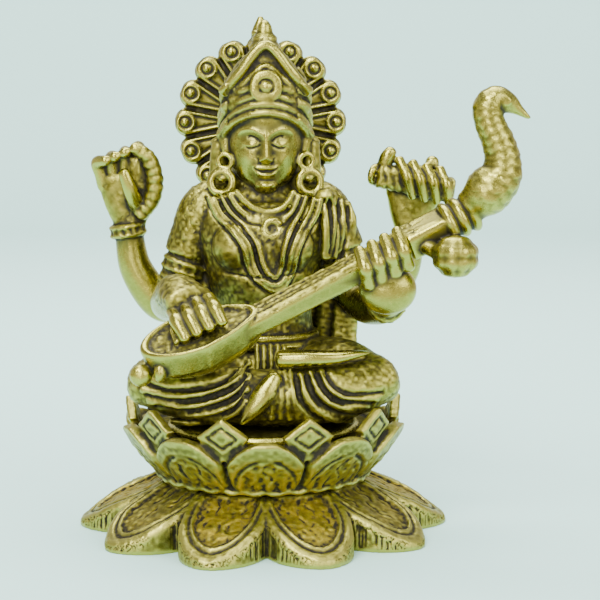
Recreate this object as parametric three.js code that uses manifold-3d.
// A small cast brass figure of the seated goddess of learning: four arms, a long-necked lute with a bird's
// head across her lap, a rayed halo pinned behind her crown, and a lotus of two tiers under her.
// Millimetres, +Z up. The front faces -Y and +X is the figure's own left. The origin is the middle of the underside.
import * as THREE from "three";
import { mergeVertices } from "three/addons/utils/BufferGeometryUtils.js";
import Module from "manifold-3d";

const wasm = await Module();
wasm.setup();

// Joints between the castings
const jointGap = 0.3;

// Lotus foot: the lower ring of petals that lies on the table
const footTipRadius = 46;
const footWaistRadius = 26;
const footHeight = 12.5;
const footPetalCount = 10;
const footPetalWidth = 20.6;
const footEdgeHeight = 4.6;
const footPanelDepth = 0.9;

// Lotus cup: the upper tier, a dish with a row of round petals and a row of pointed ones behind them
const cupWaistRadius = 25;
const cupRimRadius = 36;
const cupPetalCount = 10;
const cupPetalRise = 14.4;
const cupPetalWidth = 21;
const cupPetalThickness = 2.4;
const cupFloorRise = 11.4;
const dishRadius = 28.8;
const pointRise = 19.6;
const pointRadius = 33;
const pointWidth = 11;
const pointThickness = 2.2;

// Seated figure: one height drives it
const figureHeight = 100;

// Halo behind the head
const haloRadius = 22;
const haloThickness = 2.6;
const haloRayCount = 16;
const haloRayRadius = 2.9;
const haloFinialLength = 5;
const bossRadius = 5;
const bossHeight = 1;
const pegRadius = 2.2;

// Places worked out from those sizes
const cupUnderside = footHeight + jointGap;
const cupFloor = cupUnderside + cupFloorRise;
const seatLevel = cupFloor + jointGap;
const percent = figureHeight / 100;
const haloHeight = seatLevel + 74 * percent;
const haloSetback = 25.4 * percent;
const fullTurn = 2 * Math.PI;

const brass = new THREE.MeshStandardMaterial({ color: 0xa8924a, roughness: 0.38, metalness: 1 });
const agedBrass = new THREE.MeshStandardMaterial({ color: 0x8f7d3c, roughness: 0.5, metalness: 1 });

// Turns a closed geometry into a solid that can be joined and cut.
function solid(geometry) {
  geometry.deleteAttribute("normal");
  geometry.deleteAttribute("uv");
  const merged = mergeVertices(geometry, 1e-4);
  return new wasm.Manifold(
    new wasm.Mesh({
      numProp: 3,
      vertProperties: merged.attributes.position.array,
      triVerts: new Uint32Array(merged.index.array),
    }),
  );
}

const join = (solids) => solids.reduce((whole, next) => whole.add(next));

// Fills the pockets that joined bars close off between them: only the outer skin of the solid is kept.
const filled = (shape) => join(shape.decompose().filter((body) => body.volume() > 0));

// Corners that fall on one spot are drawn back into the solid by a hair, so that no edge has four faces.
function partCorners(geometry) {
  const hair = 0.02;
  const { position, normal } = geometry.attributes;
  const spots = new Map();
  for (let i = 0; i < position.count; i++) {
    const spot = [position.getX(i), position.getY(i), position.getZ(i)].map((v) => v.toFixed(2)).join();
    spots.set(spot, [...(spots.get(spot) ?? []), i]);
  }
  for (const i of [...spots.values()].filter((shared) => shared.length > 1).flat())
    position.setXYZ(
      i,
      position.getX(i) - hair * normal.getX(i),
      position.getY(i) - hair * normal.getY(i),
      position.getZ(i) - hair * normal.getZ(i),
    );
}

// A named mesh from a finished solid. Edges shorter than the given length are cleared away first.
function piece(name, shape, material, shortest) {
  const made = filled(shape.asOriginal().simplify(shortest)).getMesh();
  const geometry = new THREE.BufferGeometry();
  geometry.setAttribute("position", new THREE.BufferAttribute(new Float32Array(made.vertProperties), 3));
  geometry.setIndex(new THREE.BufferAttribute(new Uint32Array(made.triVerts), 1));
  geometry.computeVertexNormals();
  partCorners(geometry);
  const mesh = new THREE.Mesh(geometry, material);
  mesh.name = name;
  return mesh;
}

// Cuts off what reaches below height 0, so that the solid rests on one flat face.
function aboveGround(shape) {
  const side = 200;
  return shape.subtract(solid(new THREE.BoxGeometry(side, side, side).translate(0, 0, -side / 2)));
}

// Moves every vertex of a geometry to a new place worked out from its old one.
function reshape(geometry, place) {
  const position = geometry.attributes.position;
  const old = new THREE.Vector3();
  for (let i = 0; i < position.count; i++) {
    const { x, y, z } = place(old.fromBufferAttribute(position, i), i);
    position.setXYZ(i, x, y, z);
  }
  return geometry;
}

// A round bar along a smooth curve. Each station is [x, y, z, radius, other radius]; the first radius is
// measured towards the side direction, and both ends are domed. A sphere's rows of latitude are its rings.
function limb(stations, { sides = 7, rows = 2 * (stations.length - 1), side = [1, 0, 0] } = {}) {
  const dome = 0.7;
  const path = new THREE.CatmullRomCurve3(
    stations.map(([x, y, z]) => new THREE.Vector3(x, y, z)),
    false,
    "catmullrom",
  );
  const radii = new THREE.CatmullRomCurve3(
    stations.map(([, , , first, second = first]) => new THREE.Vector3(first, second, 0)),
    false,
    "catmullrom",
  );
  const reference = new THREE.Vector3(...side);
  const last = rows + 2;
  return reshape(new THREE.SphereGeometry(1, sides, last), (vertex, index) => {
    const row = Math.floor(index / (sides + 1));
    const angle = (fullTurn * (index % (sides + 1))) / sides;
    const along = THREE.MathUtils.clamp((row - 1) / rows, 0, 1);
    const tangent = path.getTangent(along);
    const first = reference.clone().addScaledVector(tangent, -reference.dot(tangent)).normalize();
    const second = tangent.clone().cross(first);
    const size = radii.getPoint(along);
    const centre = path.getPoint(along);
    if (row === 0) return centre.addScaledVector(tangent, -dome * Math.min(size.x, size.y));
    if (row === last) return centre.addScaledVector(tangent, dome * Math.min(size.x, size.y));
    return centre
      .addScaledVector(first, -Math.cos(angle) * size.x)
      .addScaledVector(second, Math.sin(angle) * size.y);
  });
}

// An upright ball with its own half-width, half-depth and half-height.
function ball([x, y, z], [halfWidth, halfDepth, halfHeight], sides = 8, rings = 5) {
  return new THREE.SphereGeometry(1, sides, rings)
    .rotateX(Math.PI / 2)
    .scale(halfWidth, halfDepth, halfHeight)
    .translate(x, y, z);
}

// A ring of round section lying square to an axis.
function hoop([x, y, z], radius, thickness, axis = [0, 0, 1], sides = 4, steps = 9, flat = 1) {
  const turn = new THREE.Quaternion().setFromUnitVectors(
    new THREE.Vector3(0, 0, 1),
    new THREE.Vector3(...axis).normalize(),
  );
  return new THREE.TorusGeometry(radius, thickness, sides, steps)
    .scale(1, 1, flat)
    .applyQuaternion(turn)
    .translate(x, y, z);
}

// A plain round band square to an axis, as an armlet or a collar.
function band([x, y, z], radius, width, axis, sides = 8) {
  const turn = new THREE.Quaternion().setFromUnitVectors(
    new THREE.Vector3(0, 1, 0),
    new THREE.Vector3(...axis).normalize(),
  );
  return new THREE.CylinderGeometry(radius, radius, width, sides).applyQuaternion(turn).translate(x, y, z);
}

// A body turned about an upright axis, from a profile of [radius, height] that starts and ends on the axis.
function turned(profile, segments) {
  return new THREE.LatheGeometry(
    profile.map(([radius, height]) => new THREE.Vector2(radius, height)),
    segments,
  ).rotateX(Math.PI / 2);
}

const mix = THREE.MathUtils.lerp;

// One petal of the foot: flat below, its top falling to the tip, with a raised border round a sunk panel.
// The box's x runs across the petal from -1 to 1, its y from the root at 0 to the tip at 1.
function footPetal(angle) {
  const across = 6;
  const along = 5;
  const root = footWaistRadius - 6;
  const widest = 0.42;
  const border = 0.7;
  const box = new THREE.BoxGeometry(2, 1, 1, across, along, 1).translate(0, 0.5, 0.5);
  const tipBlunt = 0.03;
  return reshape(box, ({ x, y, z }) => {
    const reach = y < widest ? 0 : (y - widest) / (1 - widest);
    const halfWidth = (footPetalWidth / 2) * (tipBlunt + (1 - tipBlunt) * (1 - reach ** 1.9));
    const sunk = Math.abs(x) < border && y < 0.95 ? footPanelDepth : 0;
    const fall = (footHeight - footEdgeHeight) * y ** 0.85;
    const top = footHeight - 0.4 - fall - sunk;
    return new THREE.Vector3(-x * halfWidth, -(root + (footTipRadius - root) * y), z < 0.5 ? -1 : top);
  }).rotateZ(angle);
}

function lotusFoot() {
  const hub = turned(
    [
      [0, -1],
      [footWaistRadius + 4, -1],
      [footWaistRadius + 4, footHeight * 0.62],
      [footWaistRadius, footHeight],
      [0, footHeight],
    ],
    30,
  );
  const petals = Array.from({ length: footPetalCount }, (_, i) =>
    solid(footPetal((fullTurn * (i + 0.5)) / footPetalCount)),
  );
  return aboveGround(join([solid(hub), ...petals]));
}

// One round petal of the cup, leaning outwards, with a raised border round its panel.
function cupPetal(angle) {
  const panelDepth = 0.8;
  const bulge = 2.2;
  const box = new THREE.BoxGeometry(2, 1, 1, 4, 5, 1).translate(0, 0.5, 0.5);
  return reshape(box, ({ x, y, z }) => {
    const rise = 1 - (1 - y) ** 1.4;
    const halfWidth = (cupPetalWidth / 2) * Math.sqrt(Math.max(0.03, 1 - rise ** 2.6));
    const lean = mix(cupWaistRadius, cupRimRadius - bulge / 2, rise);
    const panel = Math.abs(x) < 0.7 && rise < 0.9 ? panelDepth : 0;
    const swell = bulge * Math.sin(Math.PI * Math.min(1, 0.15 + 0.75 * rise)) - panel;
    const radius = lean + (z > 0.5 ? swell : -cupPetalThickness);
    const wrap = (x * halfWidth) / lean;
    const height = cupUnderside + 0.2 + (cupPetalRise - 0.2) * rise;
    return new THREE.Vector3(radius * Math.sin(wrap), -radius * Math.cos(wrap), height);
  }).rotateZ(angle);
}

// One pointed petal of the inner row: a slab whose free end is a diamond with a smaller diamond raised on it.
function cupPoint(angle) {
  const foot = 0.35;
  const widest = 0.45;
  const box = new THREE.BoxGeometry(2, 1, 1, 2, 4, 1).translate(0, 0.5, 0.5);
  return reshape(box, ({ x, y, z }) => {
    const spread = y < widest ? mix(foot, 1, y / widest) : mix(1, 0.05, (y - widest) / (1 - widest));
    const raised = z > 0.5 && x === 0 && y > 0 && y < 1 ? 0.9 : 0;
    const radius = mix(dishRadius + 0.6, pointRadius - pointThickness, y) + z * pointThickness + raised;
    const height = mix(cupFloor - 2, cupUnderside + pointRise, y);
    return new THREE.Vector3((x * spread * pointWidth) / 2, -radius, height);
  }).rotateZ(angle);
}

function lotusCup() {
  const bowl = turned(
    [
      [0, cupUnderside],
      [cupWaistRadius, cupUnderside],
      [cupWaistRadius + 3.6, cupUnderside + 6],
      [dishRadius + 3, cupFloor + 1.6],
      [dishRadius + 1.4, cupFloor + 1.6],
      [dishRadius, cupFloor],
      [0, cupFloor],
    ],
    30,
  );
  const step = fullTurn / cupPetalCount;
  const rows = Array.from({ length: cupPetalCount }, (_, i) => [
    solid(cupPetal(i * step)),
    solid(cupPoint((i + 0.5) * step)),
  ]);
  return join([solid(bowl), ...rows.flat()]);
}

// The figure below is in hundredths of its height, from the middle of its seat: x to its left, y to the back.
// The two crossed shins make one mass from knee to knee.
const shins = [
  [-31, -10, 13.2, 6, 6.4],
  [-17, -13.4, 11.4, 6.8, 6.8],
  [0, -14.4, 9.8, 6.8, 6.4],
  [17, -13.4, 10.6, 6.8, 6.8],
  [31, -10, 13.2, 6, 6.4],
];

const hipsAndLegs = () => [
  ball([0, 7, 10], [25.5, 16, 12.5], 12, 8),
  ...[-1, 1].map((s) =>
    limb(
      [
        [s * 9, 5, 11, 11, 11],
        [s * 20, -3, 12.5, 9.5, 10],
        [s * 29.5, -9.5, 13.5, 6, 6.5],
      ],
      { sides: 8, side: [0, 0, 1] },
    ),
  ),
  limb(shins, { sides: 8, rows: 9, side: [0, 0, 1] }),
];

// Feet: the right one lies on the left thigh, the left one points down in front of the shins.
const feet = () => [
  limb(
    [
      [4, -14.6, 16.6, 2.4, 3.2],
      [14, -15, 18.8, 2.8, 3.6],
      [25.5, -12.6, 18.4, 1.4, 2],
    ],
    { sides: 6, side: [0, 0, 1] },
  ),
  limb(
    [
      [2.8, -19.4, 14.4, 2.4, 2.2],
      [-1.2, -21.2, 9.4, 2.9, 2.2],
      [-5.4, -21.4, 4.6, 1.2, 1],
    ],
    { sides: 6 },
  ),
];

// How far forward the crossed shins reach at a place across and a height.
function legFront(x, z) {
  const next = shins.findIndex((station) => station[0] >= x);
  const [from, to] = next < 1 ? shins.slice(-2) : [shins[next - 1], shins[next]];
  const share = Math.min(1, (x - from[0]) / (to[0] - from[0]));
  const [, setback, height, halfHeight, halfDepth] = from.map((value, k) => mix(value, to[k], share));
  return setback - halfDepth * Math.sqrt(Math.max(0, 1 - ((z - height) / halfHeight) ** 2));
}

// Cloth folds: swags that leave the waist side by side, droop over the shin and rise to the knee.
function legFolds() {
  const count = 4;
  return [-1, 1].flatMap((s) =>
    Array.from({ length: count }, (_, i) => {
      const line = [
        [5 + 4.2 * i, 16.2],
        [8.5 + 4.4 * i, 9.4 + 0.9 * i],
        [17 + 3 * i, 7.4 + 1.6 * i],
        [29 + 0.9 * i, 11 + 1.3 * i],
      ];
      return limb(
        line.map(([x, z]) => [s * x, legFront(s * x, z), z, 1.3]),
        { sides: 4, rows: 4 },
      );
    }),
  );
}

const trunk = [
  [0, 6.5, 8, 19, 14],
  [0, 7.5, 18, 14.5, 12.5],
  [0, 8, 27, 12.2, 11.5],
  [0, 7.5, 38, 14.2, 13.2],
  [0, 8, 47, 16.4, 14],
  [0, 9.5, 54, 15.4, 11],
  [0, 9.5, 58.5, 8.5, 8],
];
const breast = { across: 6.4, setback: -1.8, height: 45, half: [6, 5.6, 6] };

const torso = () => [
  limb(trunk, { sides: 11, rows: 8 }),
  limb(
    [
      [0, 7.5, 56, 5.4, 5.8],
      [0, 6.8, 62, 4.8, 5.2],
    ],
    { sides: 8, rows: 2 },
  ),
  // the hair and veil that fall straight down the back
  limb(
    [
      [0.4, 12, 63, 8.4, 8],
      [1, 13.4, 56.5, 16.5, 9.6],
      [1.4, 14, 51, 19.6, 10.4],
      [1.2, 14.6, 42, 16.4, 9.8],
      [0.4, 15.2, 33, 10.8, 9],
      [0.2, 15.4, 20, 8.4, 8.2],
    ],
    { sides: 10, rows: 6 },
  ),
  ...[-1, 1].map((s) => ball([s * breast.across, breast.setback, breast.height], breast.half)),
];

// How far forward the chest reaches at a place across and a height.
function chestFront(x, z) {
  const upper = trunk.findIndex((station) => station[2] > z);
  const [low, high] = upper < 1 ? trunk.slice(-2) : [trunk[upper - 1], trunk[upper]];
  const share = Math.min(1, (z - low[2]) / (high[2] - low[2]));
  const [, setback, , halfWidth, halfDepth] = low.map((value, k) => mix(value, high[k], share));
  const bulge = (across, up) => Math.sqrt(Math.max(0.05, 1 - across ** 2 - up ** 2));
  const { across, height, half } = breast;
  const swell = half[1] * bulge((Math.abs(x) - across) / half[0], (z - height) / half[2]);
  return Math.min(setback - halfDepth * bulge(x / halfWidth, 0), breast.setback - swell);
}

// Garlands and necklaces: bars that hang from the shoulders and lie on the chest.
function garlands() {
  const hung = [
    { reach: 13.4, top: 57, low: 37, radius: 1.3 },
    { reach: 11, top: 57.6, low: 41, radius: 1.1 },
    { reach: 8.4, top: 58.8, low: 52.6, radius: 1.2 },
  ];
  const middle = 1.6;
  const count = 9;
  return hung.map(({ reach, top, low, radius }) =>
    limb(
      Array.from({ length: count }, (_, i) => {
        const turn = Math.sin(Math.PI * (i / (count - 1) - 0.5));
        const x = middle * (1 - Math.abs(turn)) + reach * turn;
        const z = mix(low, top, Math.abs(turn) ** 1.4);
        return [x, chestFront(x, z) - 0.2, z, radius];
      }),
      { sides: 4, rows: 6, side: [0, 0, 1] },
    ),
  );
}

// The end of the wrap: bands over the left shoulder that fall across the back to the seat.
function shoulderWrap() {
  const count = 4;
  return Array.from({ length: count }, (_, i) =>
    limb(
      [
        [16 + 1.6 * i, 1.5 + 1.6 * i, 57 - 1.1 * i, 1.8, 1.5],
        [20.5 + 0.9 * i, 16 - 0.6 * i, 49 - 3 * i, 2.2, 1.5],
        [11 + 3.8 * i, 21.4 - 1.2 * i, 34.5 - 0.8 * i, 2.5, 1.8],
        [8.6 + 4.2 * i, 22.2 - 1.2 * i, 22, 2.5, 1.8],
        [8.6 + 4.2 * i, 22 - 1.9 * i, 12, 2.4, 1.4],
        [10.6 + 4.4 * i, 19.4 - 2.2 * i, 5.4 + 0.9 * i, 2.2, 1.3],
      ],
      { sides: 5, rows: 6 },
    ),
  );
}

// One arm from the shoulder to the wrist, with its armlet and bracelet.
function arm(stations, armlet, bracelet) {
  const bands = [armlet, bracelet].map(([x, y, z, radius, axis]) =>
    band([x, y, z], radius, 3, axis, 7),
  );
  return [limb(stations, { rows: 7, side: [0, 1, 0.2] }), ...bands];
}

const arms = () => [
  ...arm(
    [
      [-9, 9, 56, 4.6],
      [-15.4, 8.4, 53.4, 5.8],
      [-19.5, 8.5, 41, 5.4],
      [-24, 8, 30.5, 5],
      [-23.5, -2, 30.5, 4.2],
      [-21.5, -11.5, 33, 3.6],
    ],
    [-20.4, 8.5, 39, 6.1, [-0.35, 0, -1]],
    [-22.2, -8, 32.2, 4.6, [0.2, -1, 0.3]],
  ),
  ...arm(
    [
      [10, 9, 56, 4.6],
      [16.4, 8.4, 53.4, 5.8],
      [20.5, 8, 42, 5.6],
      [25, 5, 31, 4.8],
      [28, -6, 30.5, 4.2],
      [29.5, -16, 32.5, 3.6],
    ],
    [21.2, 8, 40, 6.2, [0.35, 0, -1]],
    [29.3, -13, 32.2, 4.6, [0.2, -1, 0.3]],
  ),
  ...arm(
    [
      [-12, 14, 51, 5],
      [-17.5, 16, 37, 5],
      [-25, 16.5, 28.5, 4.9],
      [-33, 16, 36.5, 4.2],
      [-36, 15.5, 48, 3.4],
    ],
    [-16.5, 15.5, 39.5, 5.9, [-0.3, 0, -1]],
    [-36, 15.5, 47.5, 4.5, [-0.15, 0, 1]],
  ),
  ...arm(
    [
      [12, 14, 51, 5],
      [19, 16, 37, 5],
      [28, 16.5, 28.5, 4.9],
      [35.5, 16, 36.5, 4.2],
      [38, 15.5, 47.5, 3.4],
    ],
    [18, 15.5, 39.5, 5.9, [0.3, 0, -1]],
    [38, 15.5, 46.5, 4.5, [0.15, 0, 1]],
  ),
];

// Four fingers side by side. Each runs from the knuckle line through a middle line to the tip line, and every
// line is given by its first and last point.
function fingers(knuckles, middles, tips, radius) {
  const between = ([from, to], share) => from.map((value, k) => mix(value, to[k], share));
  return Array.from({ length: 4 }, (_, i) =>
    limb(
      [
        [...between(knuckles, i / 3), radius],
        [...between(middles, i / 3), radius],
        [...between(tips, i / 3), radius * 0.8],
      ],
      { sides: 4, rows: 2, side: [0.3, 0.5, 0.8] },
    ),
  );
}

const hands = () => [
  // right front hand, spread over the soundboard
  limb(
    [
      [-21.5, -12, 33, 3, 3.4],
      [-18.5, -19, 33, 2.3, 5],
      [-16.5, -22.5, 31.5, 1.8, 5.4],
    ],
    { side: [0, 0, 1] },
  ),
  ...fingers(
    [
      [-20.8, -19.6, 31.6],
      [-13.4, -20, 32.6],
    ],
    [
      [-20, -25.6, 29.2],
      [-10.4, -25.6, 31.6],
    ],
    [
      [-18.6, -28.4, 24.8],
      [-8.4, -27.8, 28],
    ],
    1.35,
  ),
  // left front hand, its palm under the neck and its fingers over the strings
  ball([29.2, -20.5, 36.5], [6, 3.6, 5.6]),
  ...fingers(
    [
      [24.6, -23.2, 37.6],
      [34, -22.6, 41.6],
    ],
    [
      [23.4, -25.8, 42],
      [32.4, -24.6, 46.4],
    ],
    [
      [22, -22.4, 46.4],
      [30.8, -21.2, 50.8],
    ],
    1.4,
  ),
  // right raised hand: palm, curled fingers
  limb(
    [
      [-36.2, 15.5, 49, 3.4, 2.6],
      [-37.2, 15, 56, 4.8, 2.2],
      [-38, 14.6, 62, 5.2, 2],
    ],
    {},
  ),
  ...fingers(
    [
      [-41.6, 14.8, 59.5],
      [-34.4, 14.8, 60],
    ],
    [
      [-43.2, 13.4, 67],
      [-32.6, 13.4, 69.6],
    ],
    [
      [-41, 9.4, 65.6],
      [-34.6, 9.8, 67.8],
    ],
    1.4,
  ),
  limb(
    [
      [-33, 14, 53, 1.9],
      [-33.4, 10.6, 58, 1.7],
      [-36.4, 9.2, 63, 1.3],
    ],
    { sides: 5, side: [0, 1, 0] },
  ),
  // left raised hand
  limb(
    [
      [38, 15.5, 48, 3.2, 2.6],
      [37.8, 15, 54, 5, 2.2],
      [37.6, 14.6, 58.5, 5.6, 2],
    ],
    {},
  ),
  ...fingers(
    [
      [32.4, 14.6, 59],
      [42.8, 14.6, 58.6],
    ],
    [
      [31.6, 13.2, 65],
      [43.6, 13.2, 64],
    ],
    [
      [32.8, 8, 64.6],
      [43, 8, 62.4],
    ],
    1.4,
  ),
];

// The string of beads in the right raised hand and the leaf book in the left one.
function attributes() {
  const beads = limb(
    [
      [-33.8, 10.4, 68.4, 1],
      [-28.6, 11.4, 64, 1.2],
      [-27.6, 12, 58.4, 1.3],
      [-31, 12.6, 52.4, 1.3],
      [-35.6, 12.6, 50, 1.2],
    ],
    { sides: 5 },
  );
  const book = new THREE.BoxGeometry(21, 4.6, 6.4, 1, 1, 1)
    .rotateY(0.3)
    .translate(37.4, 11, 60.8);
  const thumb = limb(
    [
      [34.5, 10, 64.5, 1.7],
      [30, 9.4, 69.6, 1.3],
    ],
    { sides: 5, rows: 1, side: [0, 1, 0] },
  );
  const roll = limb(
    [
      [29, 11, 63.2, 2.6],
      [26, 11, 64, 2.9],
    ],
    { sides: 6, rows: 1, side: [0, 0, 1] },
  );
  return [beads, book, thumb, roll];
}

// Head with the main forms of the face, ears and earrings.
function head() {
  const middle = [0.4, 8.4, 70];
  const half = [9.4, 11.8, 11.8];
  const [x, y] = middle;
  const faceFront = y - half[1];
  return [
    ball(middle, half, 12, 9),
    ball([x, faceFront + 7.4, 66.4], [7.9, 7.5, 7.9], 10, 7),
    limb(
      [
        [x, faceFront + 0.8, 73.4, 0.9, 0.9],
        [x, faceFront - 0.9, 68.6, 1.3, 1.3],
      ],
      { sides: 5, rows: 1 },
    ),
    ...[-1, 1].flatMap((s) => [
      ball([x + s * 3.9, faceFront + 1.7, 71], [2.3, 1.3, 1.1], 6, 4),
      limb(
        [
          [x + s * 9.6, 6.4, 73.6, 1.4, 1.8],
          [x + s * 9.8, 5.8, 67, 1.2, 1.6],
        ],
        { sides: 5, rows: 1 },
      ),
      hoop([x + s * 10.2, 3.4, 66], 2.4, 1, [0.25 * s, -1, 0], 4, 8),
      ball([x + s * 10.7, 3, 60.9], [3.7, 2, 3.7], 7, 4),
    ]),
  ];
}

// Crown: a wound cap, a stepped cone with a finial behind it, a pointed hood in front with a medallion, and
// bands swept down to the ears.
function crown() {
  const middle = 0.3;
  const cap = limb(
    [
      [middle, 10.2, 66, 9.6, 10.2],
      [middle, 9.4, 74, 10.6, 11.4],
      [middle, 9.4, 81, 10.4, 11.2],
      [middle, 11, 85.4, 8, 8.8],
    ],
    { sides: 11, rows: 3 },
  );
  const cone = turned(
    [
      [0, 80],
      [6.4, 80],
      [6.4, 86.4],
      [5, 87.2],
      [5, 90.4],
      [3.8, 91],
      [3.4, 94.4],
      [1.8, 98.4],
      [0, 100],
    ],
    10,
  ).translate(middle, 14.2, 0);
  const hood = limb(
    [
      [middle, 3.2, 78.6, 11, 5.8],
      [middle, 3.2, 84, 10.6, 6],
      [middle, 3.8, 89.4, 7, 5.6],
      [middle, 4.4, 93, 2.8, 4.6],
      [middle, 5, 94.6, 0.8, 3],
    ],
    { sides: 9, rows: 5 },
  );
  const ridge = limb(
    [
      [-10, 0.6, 82.4, 1],
      [-5.6, -1.8, 88, 1],
      [middle, -0.8, 94.6, 1],
      [6.2, -1.8, 88, 1],
      [10.6, 0.6, 82.4, 1],
    ],
    { sides: 4, rows: 4, side: [0, 0, 1] },
  );
  const medallion = band([middle, -2.6, 85.2], 3.6, 2.4, [0, -1, 0], 10);
  const stone = ball([middle, -3.8, 85.2], [1.9, 1, 1.9], 7, 4);
  const bandCount = 2;
  const bands = Array.from({ length: bandCount }, (_, i) =>
    limb(
      [-1, -0.7, -0.35, 0, 0.35, 0.7, 1].map((s) => {
        const turn = (s * Math.PI) / 2;
        const front = Math.cos(turn);
        return [middle + 10.9 * Math.sin(turn), 8.4 - (11.6 - 0.4 * i) * front, 69.4 + 3.2 * i + 7.2 * front, 1.6];
      }),
      { sides: 4, rows: 6, side: [0, 0, 1] },
    ),
  );
  return [cap, cone, hood, ridge, medallion, stone, ...bands];
}

// The lute: a gourd under a flat soundboard, a long neck with strings, a peg box, a second gourd and a bird.
function lute() {
  const along = new THREE.Vector3(0.893, 0.086, 0.439).normalize();
  const outward = new THREE.Vector3(-0.206, -0.79, 0.576);
  outward.addScaledVector(along, -outward.dot(along)).normalize();
  const across = outward.clone().cross(along);
  const placed = new THREE.Matrix4().makeBasis(along, across, outward);
  placed.setPosition(-15, -23.6, 23.4);
  const local = (geometry) => geometry.applyMatrix4(placed);
  const bowl = [
    [0, -9.4],
    [0.5, -8.4],
    [0.85, -5],
    [1, 0],
    [1, 1.8],
    [0.9, 1.8],
    [0.87, 1],
    [0, 1],
  ];
  const gourd = reshape(turned(bowl, 14), ({ x, y, z }) => {
    const taper = 1 - 0.28 * Math.max(0, x);
    return new THREE.Vector3(14.5 * x, 9.2 * y * taper, z);
  });
  const neckLength = 58;
  const neckStart = 9;
  const neck = new THREE.BoxGeometry(neckLength, 6.4, 5.4, 1, 1, 1).translate(neckStart + neckLength / 2, 0, -1.2);
  const strings = [-1.4, 1.4].map((y) =>
    new THREE.BoxGeometry(neckLength + 4, 1.1, 0.9, 1, 1, 1).translate(neckStart + neckLength / 2 - 2, y, 1.7),
  );
  const pegBox = new THREE.BoxGeometry(15, 8, 7.4, 1, 1, 1).translate(60, 0, -1);
  const collars = [67, 70].map((x) => band([x, 0, -1], 5.2, 1.8, [1, 0, 0], 10));
  const smallGourd = ball([66, -9.6, -2.4], [5, 5.4, 5], 9, 6);
  const stem = limb([[66, -5, -2, 2.6], [66, -2, -1.6, 2.6]], { sides: 6, rows: 1 });
  const button = ball([-15.4, 0, -1], [2.4, 2, 2], 6, 4);
  const bird = limb(
    [
      [46, -19, 54, 4],
      [52, -19, 56.6, 6.2],
      [56.4, -19, 60.8, 5.6],
      [58.6, -19, 65.4, 3.9],
      [57.2, -19, 69.6, 2.9],
      [54, -18.6, 74, 2.7],
      [52.9, -18.2, 78.6, 2.9],
      [55.4, -18, 81.2, 3.3],
      [58.8, -18, 80.2, 2.6],
      [61.2, -18, 78.4, 1.2],
      [63, -18, 76.9, 0.4],
    ],
    { sides: 7, rows: 12, side: [0, 1, 0] },
  );
  return [
    ...[gourd, neck, ...strings, pegBox, ...collars, smallGourd, stem, button].map(local),
    bird,
  ];
}

// The peg behind the head that carries the halo. It starts inside the head and ends just inside the boss.
function peg() {
  const start = 15 * percent;
  const end = haloSetback + haloThickness + 0.3 * bossHeight;
  return new THREE.CylinderGeometry(pegRadius, pegRadius, end - start, 12).translate(
    0,
    (start + end) / 2,
    haloHeight,
  );
}

function figure() {
  const body = [
    hipsAndLegs,
    feet,
    legFolds,
    torso,
    garlands,
    shoulderWrap,
    arms,
    hands,
    attributes,
    head,
    crown,
    lute,
  ].flatMap((part) => part());
  const whole = join(body.map((geometry) => solid(geometry.scale(percent, percent, percent))));
  return aboveGround(whole).translate([0, 0, seatLevel]).add(solid(peg()));
}

// Halo: a disc with a ray of round section to every lobe, a bored boss on the back and a finial at the top.
function halo() {
  const rayEnd = haloRadius - haloRayRadius;
  const disc = new THREE.CylinderGeometry(rayEnd, rayEnd, haloThickness, 32).translate(0, haloThickness / 2, 0);
  const bossRoot = haloThickness / 2;
  const boss = new THREE.CylinderGeometry(bossRadius, bossRadius, bossHeight + bossRoot, 16);
  boss.translate(0, haloThickness + (bossHeight - bossRoot) / 2, 0);
  const depth = haloThickness / 2;
  const rays = Array.from({ length: haloRayCount }, (_, i) => {
    const angle = (fullTurn * i) / haloRayCount;
    return limb(
      [
        [haloRadius * 0.32, depth * 0.3, 0, haloRayRadius * 0.34, depth * 0.6],
        [haloRadius * 0.59, depth * 0.15, 0, haloRayRadius * 0.66, depth * 0.9],
        [rayEnd, depth * 0.85, 0, haloRayRadius, depth * 1.45],
        [haloRadius * 0.965, depth * 0.9, 0, haloRayRadius * 0.62, depth],
      ],
      { sides: 6, rows: 3, side: [0, 0, 1] },
    ).rotateY(-angle);
  });
  const finial = limb(
    [
      [0, depth, haloRadius - 0.2 * haloFinialLength, haloFinialLength / 2, depth * 1.3],
      [0, depth, haloRadius + 0.32 * haloFinialLength, haloFinialLength * 0.42, depth * 1.15],
      [0, depth, haloRadius + 0.88 * haloFinialLength, haloFinialLength * 0.16, depth * 0.54],
    ],
    { sides: 6, rows: 2 },
  );
  const boreLength = 4 * (haloThickness + bossHeight);
  const bore = new THREE.CylinderGeometry(pegRadius + jointGap, pegRadius + jointGap, boreLength, 12);
  return join([disc, boss, ...rays, finial].map(solid))
    .subtract(solid(bore))
    .translate([0, haloSetback, haloHeight]);
}

const root = new THREE.Group();
root.add(
  piece("lotus_foot", lotusFoot(), agedBrass, 0.05),
  piece("lotus_cup", lotusCup(), agedBrass, 0.15),
  piece("figure", figure(), brass, 0.3),
  piece("halo", halo(), brass, 0.25),
);

export default root;
